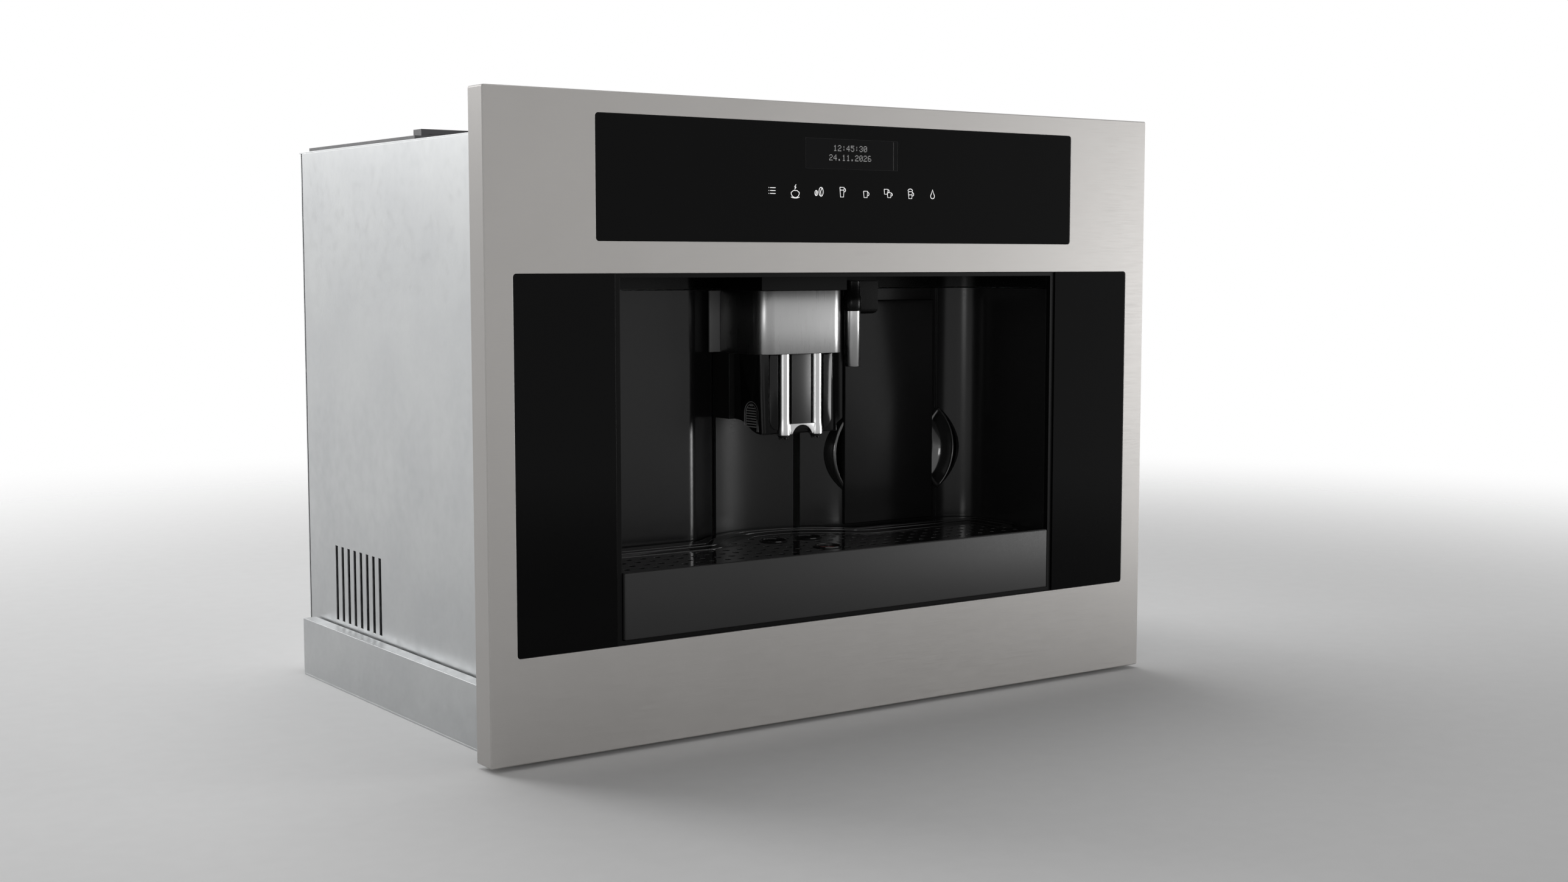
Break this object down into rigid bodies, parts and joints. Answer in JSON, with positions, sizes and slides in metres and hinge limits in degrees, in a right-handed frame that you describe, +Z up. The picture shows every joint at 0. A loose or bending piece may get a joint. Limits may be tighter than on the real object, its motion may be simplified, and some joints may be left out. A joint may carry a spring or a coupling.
{
  "type": "built-in coffee machine",
  "caption": "Built-in bean-to-cup coffee machine with steel front, black glass panels, open cup niche, drip tray and pull-out runners.",
  "frame": {"origin": "middle of the footprint, on the underside of the runner plate", "axes": "+X to the right seen from the front, the steel front faces -Y, +Z up"},
  "size_m": [0.595, 0.396, 0.449],
  "materials": {
    "brushed_steel_front": "fine horizontal grain, matt",
    "polished_steel": "polished",
    "black_glass": "black back-printed glass, gloss",
    "gloss_black": "gloss moulding",
    "satin_black": "satin moulding",
    "dark_grey": "satin dark grey",
    "screen": "character display",
    "lamp": "frosted lamp lens",
    "red_float": "red float",
    "zinc_steel": "zinc-coated sheet",
    "grey_moulding": "moulded grey plastic",
    "clear_plastic": "clear plastic",
    "smoked_plastic": "smoked plastic",
    "cast_metal": "cast",
    "motor_metal": "coated metal",
    "circuit_board": "green board",
    "hose": "translucent silicone"
  },
  "bodies": {
    "cabinet_runners": {"runner_plate": "zinc_steel", "left_cabinet_rail": "zinc_steel", "right_cabinet_rail": "zinc_steel"},
    "left_middle_runner": {"left_middle_rail": "zinc_steel"},
    "right_middle_runner": {"right_middle_rail": "zinc_steel"},
    "machine": {"base_pan": "zinc_steel", "bean_hopper": "smoked_plastic", "boiler": "cast_metal", "brew_unit": "grey_moulding", "control_board": "circuit_board", "control_glass": "black_glass", "cover_screws": "zinc_steel", "display_module": "screen", "front_fascia": "brushed_steel_front", "front_frame": "satin_black", "grinder_housing": "grey_moulding", "grinder_motor": "motor_metal", "inner_frame": "grey_moulding", "left_finger_scoop": "gloss_black", "left_glass": "black_glass", "left_inner_rail": "zinc_steel", "left_niche_wall": "gloss_black", "left_side_panel": "zinc_steel", "mains_inlet": "satin_black", "niche_ceiling": "gloss_black", "niche_header": "gloss_black", "niche_lamps": "lamp", "niche_rim": "satin_black", "powder_funnel": "satin_black", "rear_panel": "zinc_steel", "right_finger_scoop": "gloss_black", "right_glass": "black_glass", "right_inner_rail": "zinc_steel", "right_niche_wall": "gloss_black", "right_side_panel": "zinc_steel", "spout_column": "gloss_black", "spout_head": "polished_steel", "top_cover": "zinc_steel", "tray_shelf": "satin_black", "water_hoses": "hose", "water_pump": "motor_metal"},
    "spout": {"spout_body": "gloss_black", "spout_trim": "polished_steel", "coffee_nozzles": "satin_black"},
    "drip_tray": {"tray_front": "dark_grey", "drip_basin": "satin_black"},
    "grille": {"drip_grille": "gloss_black"},
    "float": {"level_float": "red_float"},
    "grounds_drawer": {"grounds_front": "gloss_black", "grounds_bin": "satin_black"},
    "hot_water": {"hot_water_outlet": "gloss_black", "hot_water_tube": "polished_steel"},
    "tank": {"water_tank": "clear_plastic"},
    "tank_cover": {"tank_lid": "satin_black"},
    "bean_lid": {"hopper_lid": "clear_plastic"},
    "powder_flap": {"funnel_flap": "satin_black"},
    "grind_dial": {"grind_knob": "satin_black"},
    "power_rocker": {"main_switch": "satin_black"},
    "scoop": {"measuring_scoop": "satin_black"},
    "burr": {"grinder_burr": "cast_metal"}
  },
  "joints": [
    {"name": "machine_slide", "type": "slide", "parent": "cabinet_runners", "child": "machine", "axis": [0, -1, 0], "range_m": [0, 0.3]},
    {"name": "left_runner_slide", "type": "slide", "parent": "cabinet_runners", "child": "left_middle_runner", "axis": [0, -1, 0], "range_m": [0, 0.15]},
    {"name": "right_runner_slide", "type": "slide", "parent": "cabinet_runners", "child": "right_middle_runner", "axis": [0, -1, 0], "range_m": [0, 0.15]},
    {"name": "spout_height", "type": "slide", "parent": "machine", "child": "spout", "axis": [0, 0, 1], "range_m": [0, 0.055]},
    {"name": "tray_slide", "type": "slide", "parent": "machine", "child": "drip_tray", "axis": [0, -1, 0], "range_m": [0, 0.2]},
    {"name": "grille_lift", "type": "slide", "parent": "drip_tray", "child": "grille", "axis": [0, 0, 1], "range_m": [0, 0.07]},
    {"name": "float_rise", "type": "slide", "parent": "drip_tray", "child": "float", "axis": [0, 0, 1], "range_m": [0, 0.006]},
    {"name": "drawer_slide", "type": "slide", "parent": "machine", "child": "grounds_drawer", "axis": [0, -1, 0], "range_m": [0, 0.15]},
    {"name": "outlet_pull", "type": "slide", "parent": "machine", "child": "hot_water", "axis": [0, -1, 0], "range_m": [0, 0.06]},
    {"name": "tank_lift", "type": "slide", "parent": "machine", "child": "tank", "axis": [0, 0, 1], "range_m": [0, 0.18]},
    {"name": "tank_lid_lift", "type": "slide", "parent": "tank", "child": "tank_cover", "axis": [0, 0, 1], "range_m": [0, 0.04]},
    {"name": "bean_lid_hinge", "type": "hinge", "parent": "machine", "child": "bean_lid", "pos_m": [0.157, 0.137, 0.4295], "axis": [-1, 0, 0], "range_deg": [0, 95]},
    {"name": "flap_hinge", "type": "hinge", "parent": "machine", "child": "powder_flap", "pos_m": [0, 0.019, 0.4295], "axis": [-1, 0, 0], "range_deg": [0, 95]},
    {"name": "dial_turn", "type": "hinge", "parent": "machine", "child": "grind_dial", "pos_m": [0.238, -0.048, 0.43], "axis": [0, 0, 1], "range_deg": [0, 270]},
    {"name": "rocker_tilt", "type": "hinge", "parent": "machine", "child": "power_rocker", "pos_m": [0.2, -0.123, 0.4208], "axis": [1, 0, 0], "range_deg": [-8, 8]},
    {"name": "scoop_lift", "type": "slide", "parent": "machine", "child": "scoop", "axis": [0, 0, 1], "range_m": [0, 0.04]},
    {"name": "burr_spin", "type": "hinge", "parent": "machine", "child": "burr", "pos_m": [0.157, 0.066, 0.3], "axis": [0, 0, 1], "continuous": true}
  ],
  "couplings": [
    {"joint": "left_runner_slide", "follows": "machine_slide", "ratio": 0.5},
    {"joint": "right_runner_slide", "follows": "machine_slide", "ratio": 0.5}
  ]
}
